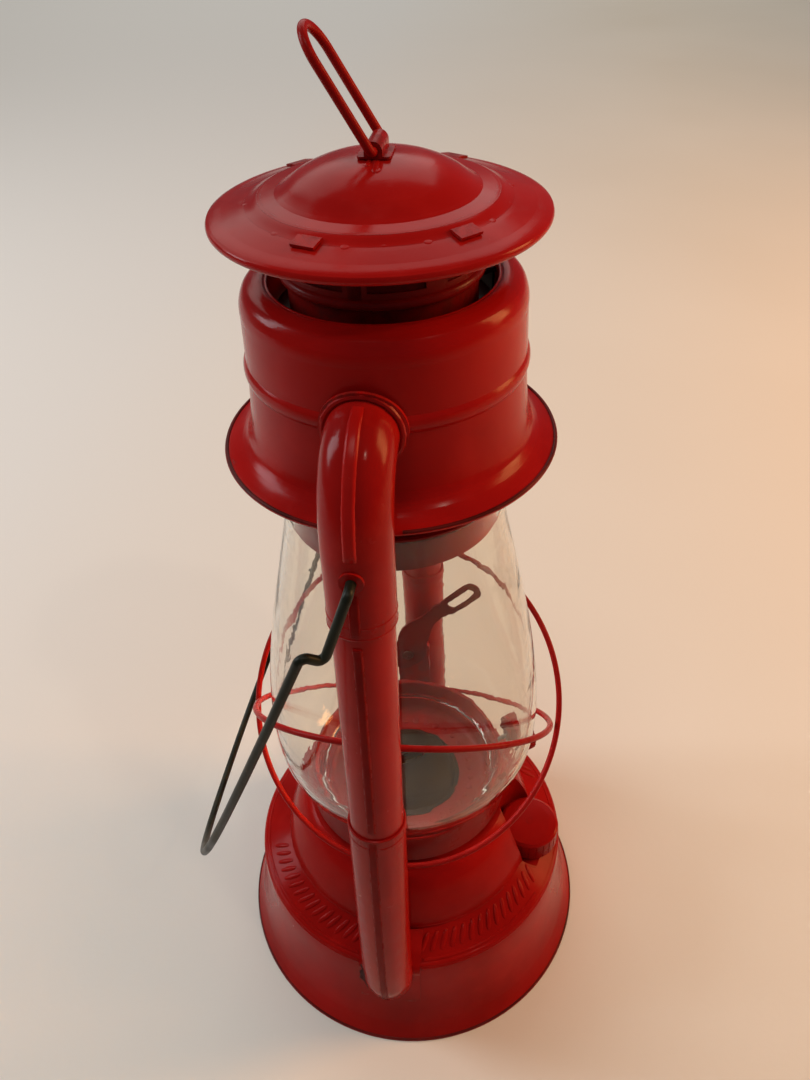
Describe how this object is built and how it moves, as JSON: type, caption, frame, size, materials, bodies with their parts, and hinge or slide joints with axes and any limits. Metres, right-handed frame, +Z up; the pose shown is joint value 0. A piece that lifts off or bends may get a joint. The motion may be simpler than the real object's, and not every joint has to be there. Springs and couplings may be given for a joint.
{
  "type": "tubular oil lantern",
  "caption": "Tubular oil lantern with a clear glass globe, two side air tubes, crossed wire guards, lifting hood, globe lift lever, wick knob, screw filler cap and wire bail.",
  "frame": {"origin": "middle of the base's foot ring, on the table", "axes": "+Z up along the globe's axis, the side tubes on +X and -X, filler cap and wick knob towards -Y"},
  "size_m": [0.1796, 0.1793, 0.4099],
  "materials": {
    "red_paint": "gloss red enamel",
    "dark_cone": "dark burnt steel, satin",
    "bare_steel": "tinned sheet, dulled",
    "bail_wire": "dark green-black wire",
    "globe_glass": "clear, slightly hazy",
    "wick_cotton": "woven cotton, charred at the top",
    "cork_rubber": "dark cork and rubber gasket",
    "brass_tube": "dull brass"
  },
  "bodies": {
    "frame": {"air_bell": "red_paint", "burner_cup": "brass_tube", "burner_plug": "bare_steel", "canopy_guide": "bare_steel", "canopy_shell": "red_paint", "filler_neck": "bare_steel", "filler_pocket": "red_paint", "fount_bottom": "bare_steel", "fount_shell": "red_paint", "guard_ring_a": "red_paint", "guard_ring_b": "red_paint", "hood_spring": "bare_steel", "left_guard_clip": "red_paint", "left_guard_foot": "red_paint", "left_lower_elbow": "red_paint", "left_middle_tube": "red_paint", "left_pivot_eye": "red_paint", "left_tube_collar": "red_paint", "left_tube_shoe": "red_paint", "left_upper_elbow": "red_paint", "lever_bracket": "red_paint", "lever_rivet": "bare_steel", "oil_tank": "bare_steel", "right_guard_clip": "red_paint", "right_guard_foot": "red_paint", "right_lower_elbow": "red_paint", "right_middle_tube": "red_paint", "right_pivot_eye": "red_paint", "right_tube_collar": "red_paint", "right_tube_shoe": "red_paint", "right_upper_elbow": "red_paint", "tank_top": "bare_steel", "wick_tube": "brass_tube"},
    "globe_carrier": {"globe_plate": "red_paint", "globe": "globe_glass", "burner_cone": "dark_cone", "lift_tongue": "red_paint"},
    "hood": {"hood_cap": "red_paint", "hood_bracket": "red_paint", "hood_dome": "red_paint", "hood_neck": "red_paint", "draft_tube": "red_paint", "draft_collar": "red_paint", "ring_saddle": "red_paint"},
    "hood_ring": {"hood_ring": "red_paint"},
    "bail": {"bail": "bail_wire"},
    "lift_lever": {"lift_lever": "red_paint", "lift_pin": "bare_steel"},
    "wick": {"wick": "wick_cotton"},
    "wick_shaft": {"wick_shaft": "bare_steel", "wick_spurs": "bare_steel", "wick_knob": "red_paint"},
    "cap_rise": {"filler_gasket": "cork_rubber"},
    "filler_cap": {"filler_cap": "red_paint", "cap_thread_ring": "bare_steel"}
  },
  "joints": [
    {"name": "globe_lift", "type": "slide", "parent": "frame", "child": "globe_carrier", "axis": [0, 0, 1], "range_m": [0, 0.012]},
    {"name": "hood_lift", "type": "slide", "parent": "globe_carrier", "child": "hood", "axis": [0, 0, 1], "range_m": [0, 0.022], "deforming": ["hood_spring"]},
    {"name": "lever_turn", "type": "hinge", "parent": "frame", "child": "lift_lever", "pos_m": [0.0594, 0.007, 0.1139], "axis": [1, 0, 0], "range_deg": [0, 60]},
    {"name": "ring_swing", "type": "hinge", "parent": "hood", "child": "hood_ring", "pos_m": [0, 0, 0.3803], "axis": [1, 0, 0], "range_deg": [-62, 124]},
    {"name": "bail_swing", "type": "hinge", "parent": "frame", "child": "bail", "pos_m": [0, 0, 0.2885], "axis": [1, 0, 0], "range_deg": [-6, 300]},
    {"name": "wick_turn", "type": "hinge", "parent": "frame", "child": "wick_shaft", "pos_m": [-0.00397, -0.00278, 0.0932], "axis": [0.5736, -0.8192, 0], "range_deg": [-120, 60]},
    {"name": "wick_rise", "type": "slide", "parent": "frame", "child": "wick", "axis": [0, 0, 1], "range_m": [-0.008, 0.004]},
    {"name": "cap_screw", "type": "hinge", "parent": "cap_rise", "child": "filler_cap", "pos_m": [-0.0052, -0.0593, 0.066], "axis": [0, 0, 1], "range_deg": [0, 900]},
    {"name": "cap_climb", "type": "slide", "parent": "frame", "child": "cap_rise", "axis": [0, 0, 1], "range_m": [0, 0.0064]}
  ],
  "couplings": [
    {"joint": "lever_turn", "follows": "globe_lift", "rad_per_m": 87.266},
    {"joint": "wick_rise", "follows": "wick_turn", "m_per_rad": 0.0035},
    {"joint": "cap_climb", "follows": "cap_screw", "m_per_rad": 0.00039789}
  ]
}
